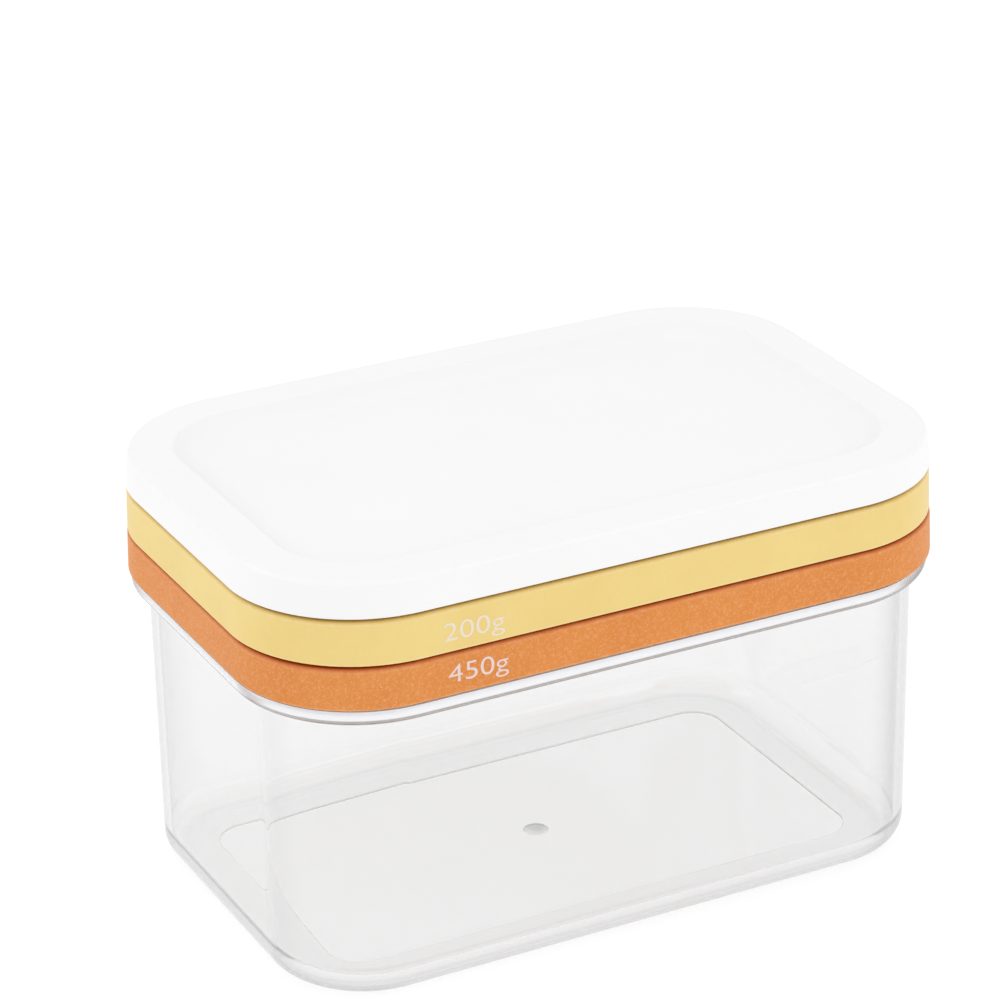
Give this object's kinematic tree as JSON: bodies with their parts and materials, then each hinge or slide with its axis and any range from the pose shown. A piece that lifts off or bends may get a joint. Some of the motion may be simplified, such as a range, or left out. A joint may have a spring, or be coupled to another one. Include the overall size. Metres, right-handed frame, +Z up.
{
  "type": "butter dish with cutter",
  "caption": "Clear rectangular butter container with two stacked wire cutter frames and a flat white lid that covers them.",
  "frame": {"origin": "middle of the flat foot that the container stands on, on the resting surface", "axes": "+X along the dish's length, +Y across it towards the back, +Z up through the lid"},
  "size_m": [0.18, 0.119, 0.1085],
  "materials": {
    "clear_plastic": "clear, glossy",
    "orange_plastic": "fine matte texture",
    "yellow_plastic": "satin",
    "white_plastic": "satin",
    "steel_wire": "drawn bright"
  },
  "bodies": {
    "container": {"container": "clear_plastic"},
    "cutter_450": {"cutter_450_skirt_ring": "orange_plastic", "cutter_450_lip_ring": "orange_plastic", "cutter_450_cross_wire_01": "steel_wire", "cutter_450_cross_wire_02": "steel_wire", "cutter_450_cross_wire_03": "steel_wire", "cutter_450_cross_wire_04": "steel_wire", "cutter_450_cross_wire_05": "steel_wire", "cutter_450_cross_wire_06": "steel_wire", "cutter_450_cross_wire_07": "steel_wire", "cutter_450_cross_wire_08": "steel_wire", "cutter_450_cross_wire_09": "steel_wire", "cutter_450_cross_wire_10": "steel_wire", "cutter_450_cross_wire_11": "steel_wire", "cutter_450_cross_wire_12": "steel_wire", "cutter_450_cross_wire_13": "steel_wire", "cutter_450_cross_wire_14": "steel_wire", "cutter_450_cross_wire_15": "steel_wire", "cutter_450_cross_wire_16": "steel_wire", "cutter_450_cross_wire_17": "steel_wire", "cutter_450_cross_wire_18": "steel_wire", "cutter_450_cross_wire_19": "steel_wire", "cutter_450_long_wire_1": "steel_wire", "cutter_450_long_wire_2": "steel_wire"},
    "cutter_200": {"cutter_200_skirt_ring": "yellow_plastic", "cutter_200_lip_ring": "yellow_plastic", "cutter_200_cross_wire_01": "steel_wire", "cutter_200_cross_wire_02": "steel_wire", "cutter_200_cross_wire_03": "steel_wire", "cutter_200_cross_wire_04": "steel_wire", "cutter_200_cross_wire_05": "steel_wire", "cutter_200_cross_wire_06": "steel_wire", "cutter_200_cross_wire_07": "steel_wire", "cutter_200_cross_wire_08": "steel_wire", "cutter_200_cross_wire_09": "steel_wire", "cutter_200_cross_wire_10": "steel_wire", "cutter_200_cross_wire_11": "steel_wire", "cutter_200_cross_wire_12": "steel_wire", "cutter_200_cross_wire_13": "steel_wire", "cutter_200_cross_wire_14": "steel_wire", "cutter_200_cross_wire_15": "steel_wire", "cutter_200_cross_wire_16": "steel_wire", "cutter_200_cross_wire_17": "steel_wire", "cutter_200_cross_wire_18": "steel_wire", "cutter_200_cross_wire_19": "steel_wire", "cutter_200_long_wire_1": "steel_wire"},
    "lid": {"lid": "white_plastic"}
  },
  "joints": [
    {"name": "cutter_450_lift", "type": "slide", "parent": "container", "child": "cutter_450", "axis": [0, 0, 1], "range_m": [0, 0.06]},
    {"name": "cutter_200_lift", "type": "slide", "parent": "cutter_450", "child": "cutter_200", "axis": [0, 0, 1], "range_m": [0, 0.06]},
    {"name": "lid_lift", "type": "slide", "parent": "cutter_200", "child": "lid", "axis": [0, 0, 1], "range_m": [0, 0.06]}
  ]
}
